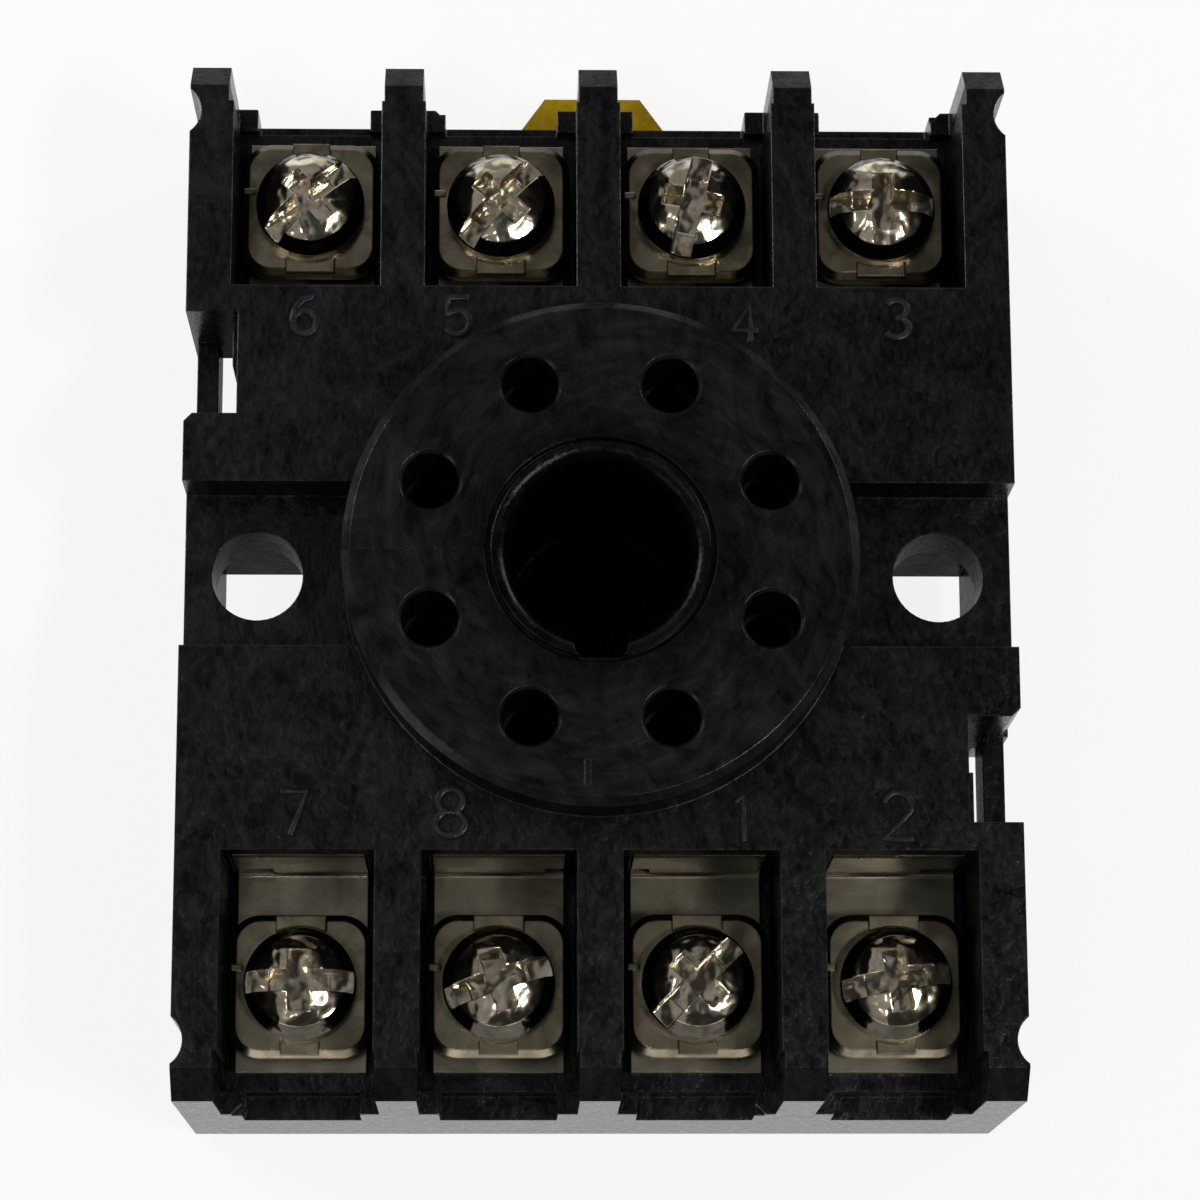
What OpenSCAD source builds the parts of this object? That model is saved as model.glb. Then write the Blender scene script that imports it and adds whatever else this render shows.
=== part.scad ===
// Eight-pin octal relay socket with screw terminals and a rail latch.
// X runs across the socket, Y runs from one terminal row to the other and Z points at the relay.
// Z = 0 is the back face that meets the panel or the rail.

/* [Body] */
// Width of the body across the terminal row
body_w = 40; // [39.6:0.1:41]
// Length of the body over the ends of the barriers
body_l = 51; // [50.4:0.1:52]
// Height of the deck and of the barriers above the back face
deck_z = 17; // [16.7:0.1:18]
// Height of the joint between the base and the housing
split_z = 9; // [8.8:0.1:9.2]
// Distance from the centre line to the deck's edge at a terminal row
deck_half = 13.85; // [13.8:0.05:14.1]

/* [Plug ring] */
// Radius of the round plug ring
disc_r = 12.25; // [11.8:0.05:12.8]
// Height of the plug ring above the back face
disc_z = 19.9; // [19.4:0.1:21]
// Bevel on the rim of the plug ring
disc_bevel = 0.4; // [0.2:0.05:0.6]
// Pitch circle of the eight pins, fixed by the octal plug
pin_pcd = 17.45; // [17.4:0.05:17.5]
// Radius of a pin hole
pin_r = 1.34; // [1.34:0.01:1.4]
// Bevel at the mouth of a pin hole
pin_bevel = 0.14; // [0.1:0.01:0.3]
// Radius of the centre hole for the plug's key post
key_r = 4.35; // [4.2:0.05:4.5]
// Radius of the rounded lip round the centre hole
key_lip = 0.85; // [0.6:0.05:0.9]
// Width of the fine groove round the lip
lip_groove_w = 0.22; // [0.15:0.01:0.3]
// Width of the keyway
keyway_w = 2.5; // [2.2:0.1:2.6]
// Corner radius at the bottom of the keyway
keyway_corner = 0.55; // [0.3:0.05:0.7]
// Distance from the centre to the bottom of the keyway
keyway_reach = 5.2; // [5:0.1:5.4]
// Height of the centre hole's closed floor above the back face
key_floor = 5.9; // [5.8:0.1:6.4]
// Wall round the centre hole where it hangs into the base
key_wall = 1.25; // [1:0.05:1.4]

/* [Mounting] */
// Distance from a side wall to the centre of its mounting hole
mount_margin = 3.5; // [3.4:0.05:3.6]
// Radius of a mounting hole
mount_r = 2.2; // [2.1:0.05:2.3]
// Height of the mounting ledge above the back face
ledge_z = 14.2; // [13.8:0.1:14.6]
// Half the length of the mounting ledge along Y
ledge_half = 4.03; // [3.8:0.01:4.2]
// Thickness of the ledge under a mounting screw's head
ledge_t = 3.6; // [3.2:0.1:4]

/* [Barriers] */
// Distance from a side wall to the pitch line of its outer barriers
side_inset = 0.92; // [0.9:0.01:0.95]
// Thickness of a barrier
barrier_t = 2.15; // [2:0.05:2.25]
// Thickness of a barrier's tip
tip_t = 1.9; // [1.7:0.05:2]
// Length of a barrier's thinner tip
tip_len = 2.2; // [1.8:0.1:2.6]
// Bevel on the top end of a barrier
tip_bevel = 1.4; // [1:0.1:1.6]
// Radius of the half-round groove in a side wall near the ends
groove_r = 1.375; // [1.2:0.025:1.5]
// Depth of that groove
groove_d = 0.55; // [0.4:0.05:0.7]

/* [Clip recess] */
// Length of the recess for a relay hold-down clip
clip_len = 5.1; // [4.8:0.1:5.4]
// Wall between that recess and the deck's edge
clip_wall = 1.35; // [1.3:0.05:1.5]
// Flare at the near end of the recess
clip_flare = 0.4; // [0.2:0.05:0.6]
// Distance from the side wall to the bar across the recess
clip_bar_in = 0.23; // [0.1:0.01:0.3]
// Height of the bar across the recess
clip_bar_z = 11.9; // [11:0.1:12]
// Thickness of the bar across the recess
clip_bar_t = 1.05; // [1:0.05:1.2]
// Width of the slot behind the bar
clip_slot_w = 1.25; // [1.1:0.05:1.3]

/* [Terminals] */
// Distance from the body's end to a terminal screw
screw_inset = 6; // [5.9:0.05:6.1]
// Shift of an outer terminal towards the centre line
outer_shift = 0.03; // [0:0.01:0.05]
// Thickness of the contact strip
strip_t = 0.8; // [0.7:0.05:0.85]
// Room left across a terminal pocket beside the contact strip
strip_room_w = 1.09; // [1.05:0.01:1.2]
// Distance from the body's end to the outer end of the pad
pad_inset = 2; // [1.8:0.1:2.2]
// Inside radius of a bend in the contact strip
bend_r = 0.2; // [0.15:0.05:0.25]
// Height of the top of the contact strip above the back face
run_z = 15.6; // [15.4:0.05:15.8]
// Inside radius of the sleeve that grips a plug pin
sleeve_r = 1.18; // [1.17:0.01:1.19]
// Wall of the sleeve
sleeve_t = 0.45; // [0.4:0.05:0.5]
// Height of the lower end of the sleeve above the back face
sleeve_z = 10.2; // [10:0.1:11]

/* [Clamps and screws] */
// Room left across a terminal pocket beside the clamp plate
clamp_room_w = 0.49; // [0.45:0.01:0.8]
// Thickness of the clamp plate
clamp_t = 0.9; // [0.8:0.05:1]
// Corner radius of the clamp plate
clamp_corner = 1.5; // [1.2:0.1:1.7]
// Bevel round the top of the clamp plate
clamp_bevel = 0.35; // [0.2:0.05:0.4]
// Least gap between a clamp plate and its pad as drawn
clamp_gap = 0.6; // [0.5:0.05:0.7]
// How unevenly the screws are backed off, as a share
screw_spread = 1; // [0:0.1:1]
// Rim of the clamp plate left round the screw head
head_rim = 0.75; // [0.7:0.05:0.9]
// Height of the screw head
head_h = 2.15; // [2:0.05:2.3]
// Width of the steep skirt round the domed top of the screw head
head_skirt = 0.5; // [0.4:0.05:0.6]
// Height of that skirt
skirt_h = 0.85; // [0.7:0.05:0.9]
// Radius of the sphere that domes the screw head
head_dome = 4.6; // [4.2:0.1:6]
// Width of the driver slot
slot_w = 1.05; // [0.95:0.05:1.15]
// Depth of the driver slot
slot_d = 1.3; // [1.1:0.05:1.4]
// Outside radius of the thread
thread_r = 1.73; // [1.7:0.01:1.74]
// Pitch of the thread
thread_p = 0.6; // [0.6:0.05:0.7]
// Length of the screw under its head
screw_len = 5.9; // [5.7:0.1:6]
// Running clearance between the thread and the strip's collar, on radius
thread_fit = 0.07; // [0.05:0.01:0.09]

/* [Rail side] */
// Width of the rail channel, for 35 mm rail
rail_w = 35.4; // [35.3:0.1:35.6]
// Depth of the rail channel
rail_d = 4; // [3.8:0.1:4.1]
// Reach of a hook over the rail's edge
hook_reach = 1.2; // [1:0.1:1.4]
// Height of a hook above the back face
hook_h = 2.65; // [2.4:0.05:2.7]

/* [Rail latch] */
// Half the width of the latch's tab
latch_half = 3.75; // [3.5:0.05:3.8]
// Half the width of the latch's tab at its end
latch_tip_half = 2.25; // [2:0.05:2.6]
// Reach of the tab beyond the body's end
latch_out = 2.95; // [2.6:0.05:3.2]
// Lower face of the latch above the back face
latch_z0 = 0.7; // [0.6:0.05:0.9]
// Upper face of the latch above the back face
latch_z1 = 3.3; // [3.1:0.05:3.35]
// Half the width of the latch's guide flange
flange_half = 5; // [4.8:0.05:5]
// Length of the latch's guide flange
flange_len = 3; // [2.8:0.1:3]
// Gap round the latch
latch_fit = 0.15; // [0.12:0.01:0.18]

/* [Colours] */
// Colour of the black moulded housing
housing_colour = [0.115, 0.12, 0.12];
// Colour of the black moulded base
base_colour = [0.1, 0.105, 0.105];
// Colour of the plated contact strips
strip_colour = [0.62, 0.59, 0.53];
// Colour of the plated clamp plates
clamp_colour = [0.66, 0.63, 0.57];
// Colour of the plated screws
screw_colour = [0.72, 0.69, 0.63];
// Colour of the rail latch
latch_colour = [0.8, 0.6, 0.06];

/* [Hidden] */
$fn = 64;
half_w = body_w / 2;
half_l = body_l / 2;
term_y = half_l - screw_inset;
pad_end = half_l - pad_inset;
latch_end = half_l + latch_out;
clip_y1 = deck_half - clip_wall;
clip_y0 = clip_y1 - clip_len;
pitch = (half_w - side_inset) / 2;
inner_x = pitch / 2;
outer_x = 1.5 * pitch - outer_shift;
pocket_w = pitch - barrier_t;
strip_w = pocket_w - strip_room_w;
clamp_w = pocket_w - clamp_room_w;
head_r = clamp_w / 2 - head_rim;
mount_x = half_w - mount_margin;
mount_slot = 2.5;
pocket_far = half_w - barrier_t;
pad_z = split_z + strip_t;
clamp_z0 = pad_z + clamp_gap;
clamp_z1 = clamp_z0 + clamp_t;
lug_out_w = 1.85;
lug_in_w = 2.4;
lug_in = 0.55;
lug_h = 0.15;
lug_fit = 0.15;
head_z0 = clamp_z1;
dome_r = head_r - head_skirt;
dome_edge = head_h - head_dome + sqrt(head_dome * head_dome - dome_r * dome_r);
collar_r = 2.6;
collar_h = 1.2;
well_r = thread_r + 0.4;
well_floor = 4.5;
leg_fit = 0.1;
channel_fit = 0.2;
sleeve_out = sleeve_r + sleeve_t;
neck_half = 1.45;
step_h = 0.6;
step_w = 0.75;
wall_t = 1.15;
wall_in = half_l - wall_t;
notch_z = 6.8;
notch_w = pocket_w - 1.69;
latch_inner = rail_w / 2 - hook_reach - 0.1;
flange_y0 = rail_w / 2 + 0.3;
latch_travel = 3;
post_r = 1.1;
hook_w = 9;
hook_inset = 9.5;
core_top = 16;
core_low = 4.2;
core_first = 7;
clip_side = 0.7;
clip_deep = 1.4;
core_edge = 0.8;
core_rib = 1.2;
core_w = (half_w - 3.6 - core_edge - 2 * core_rib) / 3;
core_d = 3.4;
peg_r = 0.6;
peg_fit = 0.03;

// Terminal number, side along X, side along Y, 1 for an outer strip, driver slot angle,
// how far the screw is backed off beyond the least gap
TERMS = [
    [1, 1, -1, 0, 45, 0.35],
    [2, 1, -1, 1, 10, 0.25],
    [3, 1, 1, 1, 0, 0.15],
    [4, 1, 1, 0, 77, 0.2],
    [5, -1, 1, 0, 48, 0.35],
    [6, -1, 1, 1, 42, 0.5],
    [7, -1, -1, 1, 0, 0],
    [8, -1, -1, 0, 18.5, 0.2]
];

function term_x(outer) = outer == 1 ? outer_x : inner_x;
function pin_at(outer) = let (a = outer == 1 ? 22.5 : 67.5) [pin_pcd / 2 * cos(a), pin_pcd / 2 * sin(a)];
function run_from(outer) = [outer == 1 ? outer_x - 1.6 : inner_x - 0.3, deck_half - strip_t];

// A bar in plan from a to b, half as wide as h
module bar2d(a, b, h) {
    d = b - a;
    n = [-d[1], d[0]] / norm(d) * h;
    polygon([a + n, b + n, b - n, a - n]);
}

// A rectangle with round corners
module rounded_rect(w, l, r) {
    square([w - 2 * r, l], center = true);
    square([w, l - 2 * r], center = true);
    for (x = [-1, 1], y = [-1, 1])
        translate([x * (w / 2 - r), y * (l / 2 - r)])
            circle(r);
}

// A quarter ring that joins two straight runs of strip, inside radius r
module bend2d(r, t) {
    intersection() {
        difference() {
            circle(r + t);
            circle(r);
        }
        square(r + t);
    }
}

// A plate with round corners and a bevel round its top
module bevelled_plate(w, l, t, r, c) {
    linear_extrude(t - c)
        rounded_rect(w, l, r);
    translate([0, 0, t - c]) {
        for (x = [-1, 1], y = [-1, 1])
            translate([x * (w / 2 - r), y * (l / 2 - r), 0])
                cylinder(r1 = r, r2 = r - c, h = c);
        rotate([90, 0, 0])
            linear_extrude(l - 2 * r, center = true)
                polygon([[-w / 2, 0], [w / 2, 0], [w / 2 - c, c], [-w / 2 + c, c]]);
        rotate([90, 0, 90])
            linear_extrude(w - 2 * r, center = true)
                polygon([[-l / 2, 0], [l / 2, 0], [l / 2 - c, c], [-l / 2 + c, c]]);
    }
}

// Copies its children to the four quarters of the body by mirroring
module quarters() {
    for (x = [0, 1], y = [0, 1])
        mirror([x, 0, 0])
            mirror([0, y, 0])
                children();
}

// Turns its children half a turn, which is how the two ends match
module both_ends() {
    children();
    rotate(180)
        children();
}

// ---------- housing ----------

// One barrier at the end of the deck, from x0 to x1, its tip from t0 to t1
module barrier(x0, x1, t0, t1) {
    translate([x0, 0, 0])
        rotate([90, 0, 90])
            linear_extrude(x1 - x0)
                polygon([
                    [deck_half - 1, split_z], [half_l - tip_len, split_z],
                    [half_l - tip_len, deck_z], [deck_half - 1, deck_z]
                ]);
    translate([t0, 0, 0])
        rotate([90, 0, 90])
            linear_extrude(t1 - t0)
                polygon([
                    [half_l - tip_len - 1, split_z], [half_l, split_z],
                    [half_l, deck_z - tip_bevel], [half_l - tip_bevel, deck_z],
                    [half_l - tip_len - 1, deck_z]
                ]);
}

// The row of five barriers at one end with the small steps at their feet
module barrier_row() {
    for (i = [-1:1])
        barrier(i * pitch - barrier_t / 2, i * pitch + barrier_t / 2,
                i * pitch - tip_t / 2, i * pitch + tip_t / 2);
    barrier(half_w - barrier_t, half_w, half_w - tip_t, half_w);
    barrier(-half_w, -half_w + barrier_t, -half_w, -half_w + tip_t);
    for (s = [-1, 1], o = [0, 1], e = [0, 1])
        translate([s * term_x(o), 0, 0])
            mirror([e, 0, 0])
                translate([notch_w / 2, wall_in, split_z])
                    foot_step((s < 0 && o == 0 && e == 1) || (s > 0 && o == 1 && e == 0) ? 0.5 : 0.05);
}

// One small step at a barrier's foot, its outer corner cut off by c
module foot_step(c) {
    linear_extrude(step_h)
        polygon([[0, 0], [step_w + 0.4, 0], [step_w + 0.4, wall_t], [c, wall_t], [0, wall_t - c]]);
}

// The plug ring with its bevelled rim
module plug_ring() {
    translate([0, 0, split_z])
        cylinder(r = disc_r, h = disc_z - disc_bevel - split_z, $fn = 128);
    translate([0, 0, disc_z - disc_bevel])
        cylinder(r1 = disc_r, r2 = disc_r - disc_bevel, h = disc_bevel, $fn = 128);
    translate([-0.65, -disc_r + 1.55, disc_z - 0.1])
        translate([-0.14, -0.6, 0])
            cube([0.28, 1.2, 0.26]);
}

// The centre hole: a round bore with a rounded lip, a fine groove round it and one keyway
module key_bore() {
    translate([0, 0, key_floor])
        cylinder(r = key_r, h = disc_z - key_floor + 1, $fn = 96);
    rotate_extrude($fn = 96)
        difference() {
            translate([0, disc_z - key_lip])
                square([key_r + key_lip, key_lip + 1]);
            translate([key_r + key_lip, disc_z - key_lip])
                circle(key_lip);
        }
    groove_out = key_r + key_lip + lip_groove_w;
    translate([0, 0, disc_z - 0.3])
        difference() {
            cylinder(r = groove_out, h = 1, $fn = 96);
            translate([0, 0, -1])
                cylinder(r = key_r + key_lip, h = 3, $fn = 96);
        }
    translate([0, 0, disc_z - 0.1])
        difference() {
            cylinder(r1 = groove_out, r2 = groove_out + 0.12, h = 0.12, $fn = 96);
            translate([0, 0, -1])
                cylinder(r = key_r + key_lip, h = 3, $fn = 96);
        }
    translate([0, 0, key_floor])
        linear_extrude(disc_z - key_floor + 1)
            keyway2d();
}

// The keyway in plan, with round corners at its bottom
module keyway2d() {
    c = keyway_corner;
    translate([-keyway_w / 2, -keyway_reach + c])
        square([keyway_w, keyway_reach - c]);
    translate([-keyway_w / 2 + c, -keyway_reach])
        square([keyway_w - 2 * c, keyway_reach]);
    for (s = [-1, 1])
        translate([s * (keyway_w / 2 - c), -keyway_reach + c])
            circle(c);
}

// The room for one contact strip, cut from below
module strip_room(outer) {
    p = pin_at(outer);
    translate([0, 0, split_z - 1]) {
        linear_extrude(run_z - split_z + 1) {
            bar2d(run_from(outer) - [0, 0.1], p, neck_half + channel_fit);
            translate(p)
                circle(sleeve_out + 0.5);
        }
        translate([term_x(outer) - strip_w / 2 - leg_fit, deck_half - strip_t - bend_r - 0.15, 0])
            cube([strip_w + 2 * leg_fit, strip_t + 1, run_z - split_z + 1]);
    }
}

// One pin hole with its bevelled mouth
module pin_hole(outer) {
    p = pin_at(outer);
    translate([p[0], p[1], run_z - 1])
        cylinder(r = pin_r, h = disc_z - run_z + 2);
    translate([p[0], p[1], disc_z - pin_bevel])
        cylinder(r1 = pin_r, r2 = pin_r + pin_bevel + 0.1, h = pin_bevel + 0.1);
}

// The notch on one side for a hold-down clip
module clip_recess() {
    bar_x = -half_w + clip_bar_in;
    slot_x = bar_x + clip_bar_t;
    translate([0, 0, clip_bar_z])
        linear_extrude(deck_z)
            polygon([
                [-half_w - 1, clip_y0 - clip_flare - 1], [-half_w + clip_flare, clip_y0],
                [slot_x + clip_slot_w, clip_y0], [slot_x + clip_slot_w, clip_y1],
                [-half_w - 1, clip_y1]
            ]);
    translate([-half_w - 1, clip_y0, split_z - 1])
        cube([clip_bar_in + 1, clip_y1 - clip_y0, deck_z]);
    translate([slot_x, clip_y0, split_z - 1])
        cube([clip_slot_w, clip_y1 - clip_y0, deck_z]);
}

// The low rib on the inner wall of the clip recess
module clip_rib() {
    translate([-half_w + clip_bar_in + clip_bar_t + clip_slot_w - 0.27, clip_y1 - 2.5, split_z])
        cube([0.4, 2.6, deck_z - split_z - 0.7]);
}

// The lowered ledge with one mounting hole and the pocket under it
module mounting_cut() {
    difference() {
        translate([disc_r * 0.8, -ledge_half, ledge_z])
            cube([half_w, 2 * ledge_half, deck_z]);
        cylinder(r = disc_r, h = 2 * deck_z, $fn = 128);
    }
    translate([mount_x, 0, split_z - 1])
        cylinder(r = mount_r, h = deck_z);
    translate([mount_x - mount_slot, -mount_slot, split_z - 1])
        cube([2 * mount_slot - 0.3, 2 * mount_slot, ledge_z - ledge_t - split_z + 1]);
}

module housing() {
    color(housing_colour)
        difference() {
            union() {
                translate([-half_w, -deck_half, split_z])
                    cube([body_w, 2 * deck_half, deck_z - split_z]);
                both_ends()
                    barrier_row();
                plug_ring();
                translate([0, 0, rail_d + 0.6])
                    cylinder(r = key_r + key_wall, h = split_z - rail_d);
            }
            key_bore();
            quarters() {
                strip_room(0);
                strip_room(1);
                pin_hole(0);
                pin_hole(1);
                translate([half_w + groove_r - groove_d, term_y + 3.3, split_z - 1])
                    cylinder(r = groove_r, h = deck_z);
                translate([half_w - barrier_t / 2, deck_half + 2.5, split_z - 1])
                    cylinder(r = peg_r + peg_fit, h = 4);
            }
            both_ends() {
                difference() {
                    clip_recess();
                    clip_rib();
                }
                mounting_cut();
                translate([0, term_y, split_z - 1])
                    cylinder(r = peg_r + peg_fit, h = 4);
            }
        }
}

// ---------- base ----------

// The guide for the rail latch in the +Y end: a wide slot over a narrow mouth
module latch_guide() {
    g = latch_fit;
    translate([-latch_half - g, rail_w / 2 - 1, -1])
        cube([2 * (latch_half + g), half_l - rail_w / 2 + 2, latch_z1 + g + 1]);
    translate([-flange_half - g, flange_y0 - 0.05, latch_z0 + 0.9])
        cube([2 * (flange_half + g), flange_len + latch_travel + 0.1, latch_z1 + g - latch_z0 - 0.9]);
}

// The bar that holds the latch up at the outer end of its guide
module latch_keeper() {
    translate([-flange_half, half_l - 1.2, 0])
        cube([2 * flange_half, 1.2, latch_z0 - latch_fit]);
}

// The fixed hooks at the -Y side of the rail channel
module fixed_hooks() {
    for (s = [-1, 1])
        translate([s * (half_w - hook_inset), 0, 0])
            rotate([90, 0, 90])
                linear_extrude(hook_w, center = true)
                    polygon([
                        [-rail_w / 2 - 1, 0], [-rail_w / 2 + hook_reach - 0.7, 0],
                        [-rail_w / 2 + hook_reach, 0.9], [-rail_w / 2 + hook_reach, hook_h],
                        [-rail_w / 2 - 1, hook_h]
                    ]);
}

// The well under one terminal screw, with room for the strip's collar
module screw_well(outer) {
    translate([term_x(outer), term_y, well_floor])
        cylinder(r = well_r, h = split_z);
    translate([term_x(outer), term_y, split_z - collar_h])
        cylinder(r = collar_r + 0.15, h = split_z);
}

// The cored pockets in the end blocks, open at the back
module end_cores(with_middle) {
    for (x = with_middle ? [-pitch, 0, pitch] : [-pitch, pitch])
        translate([x - 1.75, rail_w / 2 + 1.2, -1])
            cube([3.5, half_l - rail_w / 2 - 2.6, 7]);
}

// The cored pockets in the ceiling of the rail channel, three to a quarter
module ceiling_cores() {
    for (i = [0:2])
        translate([core_edge + i * (core_w + core_rib), i == 0 ? core_first : core_low, rail_d - 1])
            cube([core_w, core_top - (i == 0 ? core_first : core_low), core_d + 1]);
}

// The gap in the end wall where a wire leads in to one terminal
module wire_gap(outer) {
    translate([term_x(outer) - notch_w / 2, wall_in, notch_z])
        cube([notch_w, half_l, split_z]);
}

module base() {
    color(base_colour)
        difference() {
            union() {
                difference() {
                    translate([-half_w, -half_l, 0])
                        cube([body_w, body_l, split_z]);
                    translate([-half_w - 1, -rail_w / 2, -1])
                        cube([body_w + 2, rail_w, rail_d + 1]);
                    latch_guide();
                    end_cores(false);
                    rotate(180)
                        end_cores(true);
                    translate([0, 0, rail_d + 0.5])
                        cylinder(r = key_r + key_wall + 0.15, h = split_z);
                }
                fixed_hooks();
                latch_keeper();
                quarters() {
                    for (o = [0, 1])
                        translate(0.7 * run_from(o) + 0.3 * pin_at(o))
                            translate([0, 0, split_z - 0.5])
                                cylinder(r = post_r, h = run_z - strip_t - 0.05 - split_z + 0.5);
                    translate([half_w - barrier_t / 2, deck_half + 2.5, split_z - 0.5])
                        cylinder(r = peg_r, h = 3.2);
                }
                both_ends()
                    translate([0, term_y, split_z - 0.5])
                        cylinder(r = peg_r, h = 3.2);
            }
            quarters() {
                ceiling_cores();
                screw_well(0);
                screw_well(1);
                wire_gap(0);
                wire_gap(1);
                translate([mount_x - mount_slot, -mount_slot, rail_d - 1])
                    cube([2 * mount_slot - 0.3, 2 * mount_slot, split_z]);
            }
            both_ends()
                translate([-half_w + clip_side, clip_y0 - 0.5, rail_d - 1])
                    cube([clip_deep, clip_len + 3.4, split_z]);
        }
}

// ---------- contact strips ----------

// The strip's side view: pad, bend, upright, bend and the start of the run
module strip_profile() {
    y_in = deck_half - strip_t;
    r = bend_r;
    t = strip_t;
    translate([deck_half + r, split_z])
        square([pad_end - deck_half - r, t]);
    translate([y_in, split_z + r + t])
        square([t, run_z - 2 * r - 2 * t - split_z]);
    translate([y_in - r - 0.1, run_z - t])
        square([0.1, t]);
    translate([deck_half + r, split_z + r + t])
        rotate(180)
            bend2d(r, t);
    translate([y_in - r, run_z - r - t])
        bend2d(r, t);
}

// The split sleeve that grips a plug pin
module sleeve(p) {
    translate([p[0], p[1], 0])
        difference() {
            union() {
                translate([0, 0, sleeve_z])
                    cylinder(r = sleeve_out, h = run_z - sleeve_z);
                translate([0, 0, run_z - strip_t])
                    cylinder(r = sleeve_out + 0.35, h = strip_t);
            }
            translate([0, 0, sleeve_z - 1])
                cylinder(r = sleeve_r, h = run_z - sleeve_z + 2);
            translate([0, 0, run_z - 0.25])
                cylinder(r1 = sleeve_r, r2 = sleeve_r + 0.3, h = 0.3);
            for (a = [0, 90])
                rotate(a)
                    translate([-sleeve_out - 1, -0.25, sleeve_z - 1])
                        cube([2 * sleeve_out + 2, 0.5, run_z - strip_t - sleeve_z + 0.4]);
        }
}

// One strip in the quarter where X and Y are positive
module contact_strip(outer) {
    x = term_x(outer);
    p = pin_at(outer);
    edge = outer == 1 ? x + strip_w / 2 - 1.75 : x - strip_w / 2 - 1;
    cut = outer == 1 ? 2.75 : 1.9;
    difference() {
        union() {
            translate([x - strip_w / 2, 0, 0])
                rotate([90, 0, 90])
                    linear_extrude(strip_w)
                        strip_profile();
            translate([0, 0, run_z - strip_t])
                linear_extrude(strip_t)
                    bar2d(run_from(outer) - [0, 0.3], p, neck_half);
            translate([x, term_y, split_z - collar_h + 0.05])
                cylinder(r = collar_r, h = collar_h);
        }
        translate([x, term_y, split_z - collar_h - 1])
            cylinder(r = thread_r + thread_fit, h = collar_h + strip_t + 2);
        translate([x, term_y, pad_z - 0.2])
            cylinder(r1 = thread_r + thread_fit, r2 = thread_r + thread_fit + 0.25, h = 0.25);
        translate([p[0], p[1], run_z - strip_t - 1])
            cylinder(r = sleeve_out, h = strip_t + 2);
        translate([edge, deck_half - strip_t - 1, pad_z + 0.1])
            cube([cut, strip_t + 1.05, 1.5]);
    }
    sleeve(p);
}

module contact(n) {
    t = TERMS[n - 1];
    color(strip_colour)
        mirror([t[1] < 0 ? 1 : 0, 0, 0])
            mirror([0, t[2] < 0 ? 1 : 0, 0])
                contact_strip(t[3]);
}

// ---------- clamp plates ----------

// One raised lug of a clamp plate, w wide, at its end on side s
module clamp_lug(s, w) {
    translate([0, s * (clamp_w / 2 - lug_in), clamp_t + lug_h / 2 - 0.2])
        cube([w, 2 * lug_in - 0.2, lug_h + 0.4], center = true);
}

// One clamp plate, its narrow lug at the outer end, towards side s_out along Y
module clamp_plate(s_out) {
    difference() {
        union() {
            bevelled_plate(clamp_w, clamp_w, clamp_t, clamp_corner, clamp_bevel);
            for (s = [-1, 1])
                clamp_lug(s, s == s_out ? lug_out_w : lug_in_w);
            translate([-clamp_w / 2 + 0.1, 0.7, clamp_t - 0.3])
                cube([0.55, 0.3, 0.42]);
        }
        translate([0, 0, -1])
            cylinder(r = thread_r + 0.2, h = clamp_t + 2);
        translate([0, 0, clamp_t])
            cylinder(r = head_r + lug_fit, h = 1);
        for (s = [-1, 1], k = [0:2])
            translate([s * (clamp_w / 2 - 1.05 + k * 0.45) - 0.1, -clamp_w / 2 + 0.6, -0.1])
                cube([0.2, clamp_w - 1.2, 0.22]);
    }
}

module clamp(n) {
    t = TERMS[n - 1];
    color(clamp_colour)
        translate([t[1] * term_x(t[3]), t[2] * term_y, clamp_z0 + screw_spread * t[5]])
            clamp_plate(t[2]);
}

// ---------- screws ----------

// The half section of the threaded shank, one groove to each pitch
module thread_section() {
    n = floor((screw_len - 1.2) / thread_p);
    root = thread_r - 0.36;
    pts = [for (i = [0:n - 1], k = [0:3])
        [k < 2 ? thread_r : root, -0.6 - i * thread_p - [0, 0.08, 0.28, 0.36][k]]];
    polygon(concat([[0, 0.3], [root + 0.1, 0.3], [root + 0.1, -0.3]], pts,
                   [[root, -screw_len + 0.35], [root - 0.35, -screw_len], [0, -screw_len]]));
}

// The half section of the screw head with its steep skirt
module head_section() {
    intersection() {
        polygon([
            [0, 0], [head_r, 0], [head_r, dome_edge - skirt_h],
            [dome_r - 0.3 * head_skirt, dome_edge + 0.3 * skirt_h], [0, head_h + 1]
        ]);
        translate([0, head_h - head_dome])
            circle(head_dome, $fn = 128);
    }
}

module terminal_screw() {
    difference() {
        union() {
            rotate_extrude($fn = 96)
                head_section();
            rotate_extrude()
                thread_section();
        }
        translate([-head_r - 1, -slot_w / 2, head_h - slot_d])
            cube([2 * head_r + 2, slot_w, slot_d + 1]);
        translate([-slot_w / 2, -1.45, head_h - slot_d - 0.3])
            cube([slot_w, 2.9, slot_d + 1]);
        translate([-1.45, -slot_w / 2, head_h - slot_d - 0.3])
            cube([2.9, slot_w, slot_d + 1]);
    }
}

module screw(n) {
    t = TERMS[n - 1];
    color(screw_colour)
        translate([t[1] * term_x(t[3]), t[2] * term_y, head_z0 + screw_spread * t[5]])
            rotate(t[4])
                terminal_screw();
}

// ---------- rail latch ----------

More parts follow.
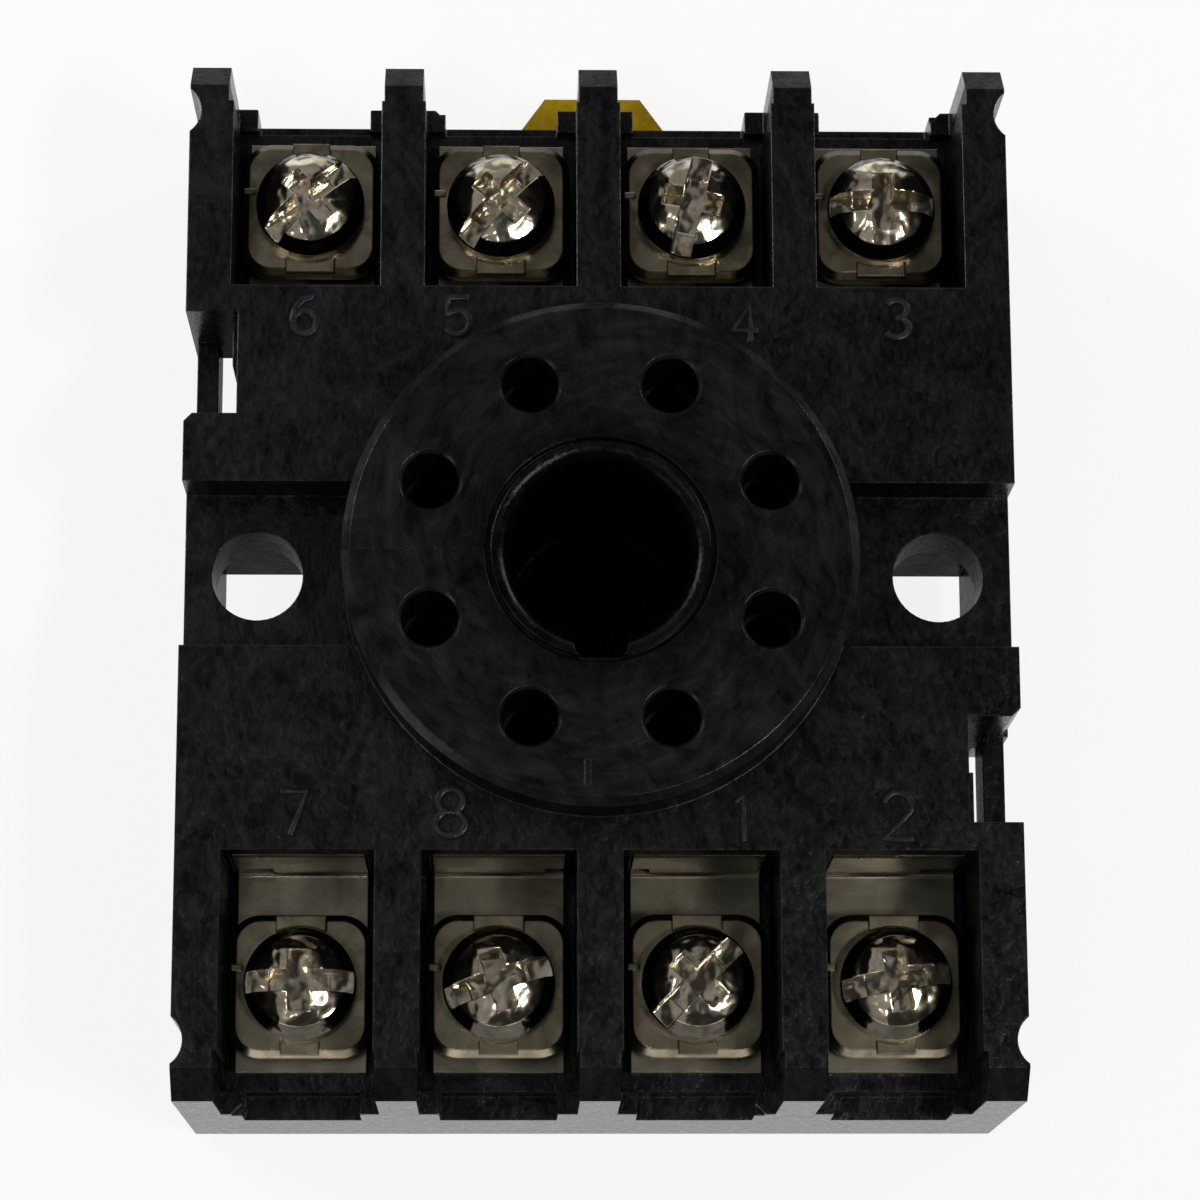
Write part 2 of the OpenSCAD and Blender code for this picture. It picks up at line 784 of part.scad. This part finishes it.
module latch() {
    lip = latch_z0 + 0.9 + latch_fit;
    color(latch_colour)
        union() {
            translate([0, 0, latch_z0])
                linear_extrude(latch_z1 - latch_z0) {
                    difference() {
                        polygon([
                            [-latch_half, rail_w / 2], [latch_half, rail_w / 2],
                            [latch_half, latch_end - 1.75], [latch_tip_half + 0.25, latch_end],
                            [-latch_tip_half - 0.25, latch_end], [-latch_half, latch_end - 1.75]
                        ]);
                    }
                }
            rotate([90, 0, 90])
                linear_extrude(2 * latch_half - 0.3, center = true)
                    polygon([
                        [rail_w / 2 + 0.1, latch_z0], [latch_inner + 0.8, latch_z0],
                        [latch_inner, latch_z0 + 0.9], [latch_inner, hook_h - 0.05],
                        [rail_w / 2 + 0.1, hook_h - 0.05]
                    ]);
            translate([-flange_half, flange_y0, lip])
                cube([2 * flange_half, flange_len, latch_z1 - lip]);
        }
}

housing();
base();
latch();
contact(1);  // contact_1
contact(2);  // contact_2
contact(3);  // contact_3
contact(4);  // contact_4
contact(5);  // contact_5
contact(6);  // contact_6
contact(7);  // contact_7
contact(8);  // contact_8
clamp(1);  // clamp_1
clamp(2);  // clamp_2
clamp(3);  // clamp_3
clamp(4);  // clamp_4
clamp(5);  // clamp_5
clamp(6);  // clamp_6
clamp(7);  // clamp_7
clamp(8);  // clamp_8
screw(1);  // screw_1
screw(2);  // screw_2
screw(3);  // screw_3
screw(4);  // screw_4
screw(5);  // screw_5
screw(6);  // screw_6
screw(7);  // screw_7
screw(8);  // screw_8
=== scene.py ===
import bpy
import math
from mathutils import Matrix, Vector


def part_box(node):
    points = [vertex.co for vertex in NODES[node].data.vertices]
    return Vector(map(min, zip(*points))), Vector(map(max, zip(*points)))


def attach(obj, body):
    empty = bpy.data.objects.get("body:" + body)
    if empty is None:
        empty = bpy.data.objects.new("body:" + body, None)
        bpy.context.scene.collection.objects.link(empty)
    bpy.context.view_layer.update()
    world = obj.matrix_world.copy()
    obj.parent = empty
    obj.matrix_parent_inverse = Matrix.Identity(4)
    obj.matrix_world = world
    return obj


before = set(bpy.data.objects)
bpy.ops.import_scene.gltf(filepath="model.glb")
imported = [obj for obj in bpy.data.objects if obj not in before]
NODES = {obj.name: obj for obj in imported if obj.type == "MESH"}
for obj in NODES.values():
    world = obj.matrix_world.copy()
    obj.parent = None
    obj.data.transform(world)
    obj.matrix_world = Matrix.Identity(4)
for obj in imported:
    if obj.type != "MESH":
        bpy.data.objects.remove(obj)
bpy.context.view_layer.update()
MM = 0.001


TERMINALS = range(1, 9)

# Half the width of the socket, and how far its end without the latch lies from the middle
SIDE_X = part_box("base")[1][0]
END_Y = -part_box("base")[0][1]
# The faces within this distance of a side or end are its outer faces, with a soft limit.
OUTER_SKIN = 1.2 * MM
OUTER_FADE = 0.4 * MM

# Radii of the plug ring and of the keyed hole in its middle, and the height of the deck
DISC_R = 12.25 * MM
BORE_R = 4.35 * MM
DECK_Z = 17 * MM

# How deep each pattern in the resin reaches, as a bump's strength and height
FLOW_BUMP = (0.75, 0.06 * MM)
STREAK_BUMP = (0.55, 0.05 * MM)
GRAIN_BUMP = (0.5, 0.015 * MM)
# Which way the patterns run, and how much the streaks count in the mottled colour
FLOW_TILT = math.radians(35)
STREAK_TILT = math.radians(55)
STREAK_SHARE = 0.38
# The swirls on the plug ring: how far an arc drifts and how long it is per radian, and their edge
SWIRL_DRIFT = 1.2 * MM
SWIRL_LENGTH = 3.5 * MM
SWIRL_FADE = 0.1 * MM
# The radius to which the resin's edges look rounded
RESIN_EDGE = 0.1 * MM
# Painted shade in the keyed hole: how much of the resin's colour and shine is left there, and where
# it fades in
PIT_SHADE_LEVEL = 0.15
PIT_SHADE_FADE = 0.15 * MM

# Where a colour mix node takes its two colours and gives the result
COLOUR_A, COLOUR_B, COLOUR_OUT = 6, 7, 2
# Where a number mix node takes its two values
VALUE_A, VALUE_B = 2, 3

# How white the floor looks to the camera, metal and glass, beside its own lit colour
FLOOR_WHITE = 0.85
FLOOR_COLOUR = 0.9
FLOOR_SIZE = 3.0
FLOOR_GAP = 0.1 * MM
# The room gets lighter along ROOM_SIDE: how far a direction goes that way, and its brightness
ROOM_SIDE = (-0.85, 0.2, 0.0)
ROOM = [(-0.6, 0.01), (-0.05, 0.02), (0.07, 0.22), (0.6, 0.25)]
# The camera, metal and glass see the room as white below the first height and as it is above the
# second one. A height is the upward share of a direction: nought level, one overhead.
HORIZON_BAND = (0.3, 0.45)
# Each lamp's name, place, size, power and colour
WHITE = (1.0, 1.0, 1.0)
LAMPS = [
    ("key", (0.21, -0.125, 0.435), (0.12, 0.036), 0.9, (1.0, 0.985, 0.96)),
    ("left_low", (-0.42, -0.3, 0.11), (0.22, 0.08), 0.8, WHITE),
    ("left_back", (-0.42, 0.22, 0.15), (0.2, 0.1), 1.5, WHITE),
    ("right_back", (0.4, 0.26, 0.15), (0.2, 0.1), 1.1, WHITE),
    ("spot_left", (-0.17, -0.05, 0.44), (0.02, 0.02), 0.065, WHITE),
    ("spot_front", (-0.08, -0.26, 0.44), (0.02, 0.02), 0.065, WHITE),
]
LAMP_AIM = (0, 0, 0.01)

# The camera's place and turn were fitted to the photograph's viewing angle. Its focal length is
# counted in widths of the frame.
CAM_AT = Vector((-4.466, -45.261, 203.991)) * MM
CAM_TILT = math.radians(13.086)
CAM_PAN = math.radians(1.337)
CAM_ROLL = math.radians(-0.156)
CAM_FOCAL = 3.35575
SENSOR = 36.0

# The terminal numbers' strokes: their radius, and how flat they are pressed
STROKE = 0.2 * MM
STROKE_FLAT = 0.5
# Each number's place and size in millimetres
NUMBERS = {
    "6": (-14.23, 12.33, 1.25),
    "5": (-6.83, 12.31, 1.25),
    "4": (7.08, 11.97, 1.25),
    "3": (14.48, 12.25, 1.25),
    "7": (-14.41, -12.12, 1.4),
    "8": (-7.03, -12.06, 1.5),
    "1": (6.68, -12.33, 1.5),
    "2": (14.05, -12.22, 1.5),
}


# ---------- shader nodes ----------

def grey(level):
    """A colour with the same level of red, green and blue."""
    return (level, level, level)


class Tree:
    """Adds and links the shader nodes of a material or the world.

    A source is an output socket of a node."""

    def __init__(self, node_tree):
        self.nt = node_tree
        self.nt.nodes.clear()
        self.coord = self.add("ShaderNodeTexCoord")
        self.object = self.coord.outputs["Object"]

    def add(self, kind, **props):
        node = self.nt.nodes.new(kind)
        for key, value in props.items():
            setattr(node, key, value)
        return node

    def link(self, source, node, socket):
        self.nt.links.new(source, node.inputs[socket])

    def compute(self, operation, *values):
        """A number worked out from sources and plain numbers."""
        node = self.add("ShaderNodeMath", operation=operation)
        for i, value in enumerate(values):
            if isinstance(value, (int, float)):
                node.inputs[i].default_value = value
            else:
                self.link(value, node, i)
        return node.outputs["Value"]

    def split(self, source):
        """The X, Y and Z of a vector."""
        node = self.add("ShaderNodeSeparateXYZ")
        self.link(source, node, "Vector")
        return node.outputs

    def mapped(self, scale, rotation=(0, 0, 0)):
        """The place on the object, stretched and turned."""
        node = self.add("ShaderNodeMapping")
        node.inputs["Scale"].default_value = scale
        node.inputs["Rotation"].default_value = rotation
        self.link(self.object, node, "Vector")
        return node.outputs["Vector"]

    def noise(self, place, scale, detail, rough, distort=0.0):
        node = self.add("ShaderNodeTexNoise")
        node.inputs["Scale"].default_value = scale
        node.inputs["Detail"].default_value = detail
        node.inputs["Roughness"].default_value = rough
        node.inputs["Distortion"].default_value = distort
        self.link(place, node, "Vector")
        return node.outputs["Fac"]

    def ramp(self, source, stops):
        """A colour for each value of the source, from stops of a position and a colour."""
        node = self.add("ShaderNodeValToRGB")
        elements = node.color_ramp.elements
        while len(elements) < len(stops):
            elements.new(0.5)
        for element, (position, colour) in zip(elements, stops):
            element.position = position
            element.color = (*colour, 1.0)
        self.link(source, node, "Fac")
        return node.outputs["Color"]

    def spread(self, source, low, high, from_low=0.3, from_high=0.7):
        """The source's range from_low to from_high, stretched over low to high."""
        node = self.add("ShaderNodeMapRange")
        node.inputs["From Min"].default_value = from_low
        node.inputs["From Max"].default_value = from_high
        node.inputs["To Min"].default_value = low
        node.inputs["To Max"].default_value = high
        self.link(source, node, "Value")
        return node.outputs["Result"]

    def times(self, a, b):
        """Two colours multiplied."""
        node = self.add("ShaderNodeMix", data_type="RGBA", blend_type="MULTIPLY")
        node.inputs["Factor"].default_value = 1.0
        self.link(a, node, COLOUR_A)
        self.link(b, node, COLOUR_B)
        return node.outputs[COLOUR_OUT]

    def blend(self, a, b, share):
        """A value that is partly a and, by its share, partly b."""
        node = self.add("ShaderNodeMix", data_type="FLOAT")
        if isinstance(share, float):
            node.inputs[0].default_value = share
        else:
            self.link(share, node, 0)
        self.link(a, node, VALUE_A)
        self.link(b, node, VALUE_B)
        return node.outputs[0]

    def bump(self, source, depth, below):
        """Relief from the source on top of the normal below; depth is a strength and a height."""
        node = self.add("ShaderNodeBump")
        node.inputs["Strength"].default_value = depth[0]
        node.inputs["Distance"].default_value = depth[1]
        self.link(source, node, "Height")
        self.link(below, node, "Normal")
        return node.outputs["Normal"]

    def soft_edge(self, radius):
        """The face's normal, rounded off near its edges."""
        node = self.add("ShaderNodeBevel", samples=6)
        node.inputs["Radius"].default_value = radius
        return node.outputs["Normal"]

    def facing(self, stops, way="Z"):
        """A value that follows how far a face looks one way, read from the object's own normals."""
        normal = self.split(self.coord.outputs["Normal"])
        return self.ramp(normal[way], [(position, grey(value)) for position, value in stops])

    def radius(self):
        """How far a place is from the upright axis through the origin."""
        node = self.add("ShaderNodeVectorMath", operation="LENGTH")
        self.link(self.mapped((1, 1, 0)), node, 0)
        return node.outputs["Value"]

    def swirls(self):
        """Noise drawn out into arcs that wind round the upright axis."""
        place = self.split(self.object)
        turn = self.compute("ARCTAN2", place["Y"], place["X"])
        wound = self.add("ShaderNodeCombineXYZ")
        self.link(self.compute("MULTIPLY_ADD", turn, SWIRL_DRIFT, self.radius()), wound, "X")
        self.link(self.compute("MULTIPLY", turn, SWIRL_LENGTH), wound, "Y")
        return self.noise(wound.outputs["Vector"], scale=1500.0, detail=5.0, rough=0.62, distort=0.6)

    def on_outside(self, inner, level):
        """The colour inner, swapped for a grey level on the socket's outer side and end faces."""
        place = self.split(self.object)
        near = []
        for way, reach in (("X", SIDE_X), ("Y", END_Y)):
            far = self.compute("ABSOLUTE", place[way])
            skin = reach - OUTER_SKIN
            near.append(self.spread(far, 0.0, 1.0, skin, skin + OUTER_FADE))
        upright = self.facing([(0.5, 1.0), (0.6, 0.0)])
        node = self.add("ShaderNodeMix", data_type="RGBA")
        self.link(self.compute("MULTIPLY", self.compute("MAXIMUM", *near), upright), node, "Factor")
        self.link(inner, node, COLOUR_A)
        node.inputs[COLOUR_B].default_value = (*grey(level), 1.0)
        return node.outputs[COLOUR_OUT]

    def seen_directly(self):
        """One for the rays of the camera, metal and glass, and nought for the light on the object."""
        path = self.add("ShaderNodeLightPath").outputs
        mirror = self.compute("MAXIMUM", path["Is Glossy Ray"], path["Is Transmission Ray"])
        return self.compute("MAXIMUM", path["Is Camera Ray"], mirror)

    def mix_shaders(self, share, first, second):
        """The first node's shader and, by the share, the second's."""
        node = self.add("ShaderNodeMixShader")
        self.link(share, node, "Fac")
        self.link(first.outputs[0], node, 1)
        self.link(second.outputs[0], node, 2)
        return node.outputs["Shader"]

    def finish(self, source, kind="ShaderNodeOutputMaterial"):
        self.link(source, self.add(kind), "Surface")


# ---------- materials ----------

def new_material(name):
    """A material with nodes, ready for a Tree."""
    material = bpy.data.materials.new(name)
    material.use_nodes = True
    return material


def moulded(name, dark, light, rough, spec=(0.003, 0.06, 0.42), outer=0.17, swirl_r=None):
    """Moulded resin: flow marks and streaks that drift across the face, a fine grain and soft edges.

    spec is the shine of upright, slanted and level faces, and outer that of the outer side faces.
    Within swirl_r of the upright axis the streaks wind round it, and the keyed hole gets painted
    shade that darkens its colour and shine."""
    material = new_material(name)
    t = Tree(material.node_tree)
    flow_place = t.mapped((1.0, 0.7, 0.5), (0, 0, FLOW_TILT))
    flow = t.noise(flow_place, scale=240.0, detail=7.0, rough=0.68, distort=2.6)
    streak_place = t.mapped((1.0, 0.6, 1.0), (0, 0, STREAK_TILT))
    streak = t.noise(streak_place, scale=3000.0, detail=4.0, rough=0.62, distort=0.6)
    if swirl_r is not None:
        inside = t.spread(t.radius(), 1.0, 0.0, swirl_r, swirl_r + SWIRL_FADE)
        streak = t.blend(streak, t.swirls(), inside)
    grain = t.noise(t.object, scale=6000.0, detail=2.0, rough=0.6)
    mottle = t.blend(flow, streak, STREAK_SHARE)

    colour = t.ramp(mottle, [(0.39, dark), (0.61, light)])
    patches = t.ramp(mottle, [(0.36, grey(0.35)), (0.64, grey(1.3))])
    level = t.facing([(0.3, spec[0]), (0.72, spec[1]), (0.95, spec[2])])
    shine = t.times(level, patches)
    # Painted shade: inside the keyed hole the resin's colour and shine are darkened.
    if swirl_r is not None:
        pit_shade = t.ramp(t.radius(), [(BORE_R - PIT_SHADE_FADE, grey(PIT_SHADE_LEVEL)), (BORE_R, grey(1.0))])
        colour = t.times(colour, pit_shade)
        shine = t.times(shine, pit_shade)
    shine = t.on_outside(shine, outer)

    relief = t.soft_edge(RESIN_EDGE)
    relief = t.bump(flow, FLOW_BUMP, relief)
    relief = t.bump(streak, STREAK_BUMP, relief)
    relief = t.bump(grain, GRAIN_BUMP, relief)

    resin = t.add("ShaderNodeBsdfPrincipled")
    resin.inputs["Specular IOR Level"].default_value = spec[1]
    t.link(colour, resin, "Base Color")
    t.link(shine, resin, "Specular IOR Level")
    t.link(t.spread(streak, rough[0], rough[1]), resin, "Roughness")
    t.link(relief, resin, "Normal")
    t.finish(resin.outputs["BSDF"])
    return material


def plated(name, dark, light, rough, edge, patch, dents, dent_depth, line_depth, stretch=(1, 1, 1),
           shade=None, way="Z"):
    """Nickel plate: warm grey with stains, soft dents and faint tool marks along one way.

    patch and dents are the patterns' scales. shade is painted shade: it darkens the colour of the
    faces that look certain ways."""
    material = new_material(name)
    t = Tree(material.node_tree)
    stain = t.noise(t.object, scale=patch, detail=4.0, rough=0.6, distort=0.6)
    colour = t.ramp(stain, [(0.35, dark), (0.62, light)])
    if shade is not None:
        colour = t.times(colour, t.facing(shade, way))

    dent = t.noise(t.object, scale=dents, detail=1.2, rough=0.4, distort=0.2)
    line = t.noise(t.mapped(stretch), scale=1500.0, detail=2.0, rough=0.5, distort=0.1)
    relief = t.soft_edge(edge)
    relief = t.bump(dent, dent_depth, relief)
    relief = t.bump(line, line_depth, relief)

    plate = t.add("ShaderNodeBsdfPrincipled")
    plate.inputs["Metallic"].default_value = 1.0
    t.link(colour, plate, "Base Color")
    t.link(t.spread(stain, rough[1], rough[0]), plate, "Roughness")
    t.link(relief, plate, "Normal")
    t.finish(plate.outputs["BSDF"])
    return material


def dress(node, material):
    """Gives a CAD node its material through the object's own slots."""
    piece = NODES[node]
    if not piece.data.materials:
        piece.data.materials.append(None)
    for slot in piece.material_slots:
        slot.link = "OBJECT"
        slot.material = material


def dress_all():
    """Gives every CAD node its material."""
    black = {"dark": (0.0014, 0.0016, 0.0021), "light": (0.0064, 0.0069, 0.008), "rough": (0.18, 0.3)}
    dress("housing", moulded("housing_resin", swirl_r=DISC_R, **black))
    dress("base", moulded("base_resin", **black))
    dress("latch", moulded("latch_resin", (0.3, 0.188, 0.0025), (0.4, 0.26, 0.004), (0.4, 0.5),
                           spec=(0.05, 0.1, 0.2), outer=0.05))
    strip = plated("strip_plate", (0.18, 0.165, 0.12), (0.46, 0.42, 0.33), (0.24, 0.36),
                   edge=0.06 * MM, patch=260.0, dents=350.0, dent_depth=(0.6, 0.08 * MM),
                   line_depth=(0.05, 0.02 * MM), stretch=(1, 0.15, 1))
    # Painted shade: the clamp plates' faces that look towards +Y are darkened in their colour.
    clamp = plated("clamp_plate", (0.17, 0.148, 0.1), (0.42, 0.365, 0.255), (0.22, 0.36),
                   edge=0.12 * MM, patch=420.0, dents=380.0, dent_depth=(0.7, 0.22 * MM),
                   line_depth=(0.05, 0.02 * MM), shade=[(0.2, 1.0), (0.5, 0.3)], way="Y")
    # Painted shade: the screw heads' steep skirts are darkened in their colour.
    screw = plated("screw_plate", (0.46, 0.39, 0.27), (0.84, 0.755, 0.6), (0.11, 0.19),
                   edge=0.1 * MM, patch=900.0, dents=1100.0, dent_depth=(1.0, 0.15 * MM),
                   line_depth=(0.1, 0.02 * MM),
                   shade=[(0.2, 1.0), (0.36, 0.13), (0.62, 0.13), (0.8, 1.0)])
    for k in TERMINALS:
        dress(f"contact_{k}", strip)
        dress(f"clamp_{k}", clamp)
        dress(f"screw_{k}", screw)


# ---------- raised terminal numbers ----------

def arc(cx, cy, rx, ry, start, end, steps=14):
    """Points along an arc of an ellipse, with its angles in degrees."""
    turns = [math.radians(start + (end - start) * i / steps) for i in range(steps + 1)]
    return [(cx + rx * math.cos(turn), cy + ry * math.sin(turn)) for turn in turns]


# Each digit is drawn in a box 1 wide and 1.5 high, with its centre at the origin.
SIX_STEM = arc(0.25, -0.25, 0.72, 0.95, 112, 180, 8)
DIGITS = {
    "1": [[(-0.2, 0.5), (0.05, 0.75), (0.05, -0.75)]],
    "2": [arc(0, 0.33, 0.45, 0.42, 170, -35) + [(-0.46, -0.75), (0.48, -0.75)]],
    "3": [arc(-0.02, 0.38, 0.42, 0.37, 150, -90) + arc(-0.02, -0.36, 0.48, 0.39, 90, -150)],
    "4": [[(0.5, -0.28), (-0.5, -0.28), (0.2, 0.75), (0.2, -0.75)]],
    "5": [[(0.42, 0.75), (-0.36, 0.75), (-0.42, 0.06)] + arc(-0.02, -0.26, 0.48, 0.49, 140, -150)],
    "6": [[(0.3, 0.72)] + SIX_STEM + arc(0, -0.29, 0.46, 0.46, 180, 540, 22)],
    "7": [[(-0.46, 0.75), (0.46, 0.75), (-0.12, -0.75)]],
    "8": [arc(0, 0.37, 0.4, 0.37, -90, 270, 22) + arc(0, -0.37, 0.47, 0.38, 90, 450, 22)],
}


def number(text, x, y, size, material):
    """One raised number: soft flat strokes sunk halfway into the deck."""
    curve = bpy.data.curves.new(f"number_{text}", "CURVE")
    curve.dimensions = "3D"
    curve.bevel_depth = STROKE
    curve.bevel_resolution = 2
    curve.use_fill_caps = True
    for stroke in DIGITS[text]:
        spline = curve.splines.new("POLY")
        spline.points.add(len(stroke) - 1)
        for point, (px, py) in zip(spline.points, stroke):
            point.co = (px * size * MM, py * size * MM, 0.0, 1.0)
    o = bpy.data.objects.new(f"number_{text}", curve)
    bpy.context.scene.collection.objects.link(o)
    o.location = (x * MM, y * MM, DECK_Z)
    o.scale = (1.0, 1.0, STROKE_FLAT)
    curve.materials.append(material)
    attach(o, "body")


def add_numbers():
    """The eight terminal numbers, a little lighter than the deck."""
    resin = moulded("number_resin", (0.006, 0.0066, 0.0076), (0.014, 0.015, 0.017), (0.26, 0.36))
    for text, (x, y, size) in NUMBERS.items():
        number(text, x, y, size, resin)


# ---------- floor, light and camera ----------

def plain_floor():
    """A floor that shows white to the camera, metal and glass and keeps the object's shadow."""
    bpy.ops.mesh.primitive_plane_add(size=FLOOR_SIZE, location=(0, 0, -FLOOR_GAP))
    o = bpy.context.object
    o.name = "floor"
    material = new_material("floor_white")
    t = Tree(material.node_tree)
    lit = t.add("ShaderNodeBsdfDiffuse")
    lit.inputs["Color"].default_value = (*grey(FLOOR_COLOUR), 1.0)
    share = t.compute("MULTIPLY", t.seen_directly(), FLOOR_WHITE)
    t.finish(t.mix_shaders(share, lit, t.add("ShaderNodeEmission")))
    o.data.materials.append(material)


def set_world():
    """A plain dim room, lighter overhead towards ROOM_SIDE, with a band round the horizon that the
    camera, metal and glass see as white, like the floor."""
    world = bpy.data.worlds.new("world")
    bpy.context.scene.world = world
    world.use_nodes = True
    t = Tree(world.node_tree)
    direction = t.coord.outputs["Generated"]
    side = t.add("ShaderNodeVectorMath", operation="DOT_PRODUCT")
    side.inputs[1].default_value = ROOM_SIDE
    t.link(direction, side, 0)
    # A ramp runs from nought to one, so the range from -1 to 1 is halved and shifted to fit.
    along = t.compute("MULTIPLY_ADD", side.outputs["Value"], 0.5, 0.5)
    brightness = t.ramp(along, [(0.5 + 0.5 * position, grey(level)) for position, level in ROOM])
    room = t.add("ShaderNodeBackground")
    t.link(brightness, room, "Color")
    white = t.add("ShaderNodeBackground")
    white.inputs["Color"].default_value = (*WHITE, 1.0)
    low = t.spread(t.split(direction)["Z"], 1.0, 0.0, HORIZON_BAND[0], HORIZON_BAND[1])
    share = t.compute("MULTIPLY", t.seen_directly(), low)
    t.finish(t.mix_shaders(share, room, white), "ShaderNodeOutputWorld")


def lamp(name, place, size, power, colour):
    """A rectangular lamp that shines on the middle of the object."""
    light = bpy.data.lights.new(name, "AREA")
    light.shape = "RECTANGLE"
    light.size, light.size_y = size
    light.energy = power
    light.color = colour
    o = bpy.data.objects.new(name, light)
    bpy.context.scene.collection.objects.link(o)
    o.location = place
    o.rotation_euler = (Vector(LAMP_AIM) - Vector(place)).to_track_quat("-Z", "Y").to_euler()


def set_camera():
    """The photograph's camera: it looks down and leans by its tilt, pan and roll."""
    forward = Vector((math.sin(CAM_PAN), math.sin(CAM_TILT), -math.cos(CAM_TILT))).normalized()
    right = forward.cross(Vector((0, 1, 0))).normalized()
    up = right.cross(forward)
    c, s = math.cos(CAM_ROLL), math.sin(CAM_ROLL)
    right, up = right * c + up * s, up * c - right * s
    place = Matrix((right, up, -forward)).transposed().to_4x4()
    place.translation = CAM_AT
    camera = bpy.data.cameras.new("camera")
    camera.sensor_width = SENSOR
    camera.lens = CAM_FOCAL * SENSOR
    camera.clip_start = 0.01
    camera.clip_end = 10.0
    o = bpy.data.objects.new("camera", camera)
    bpy.context.scene.collection.objects.link(o)
    o.matrix_world = place
    bpy.context.scene.camera = o


dress_all()
add_numbers()
plain_floor()
set_world()
for row in LAMPS:
    lamp(*row)
set_camera()
view = bpy.context.scene.view_settings
view.view_transform = "Standard"
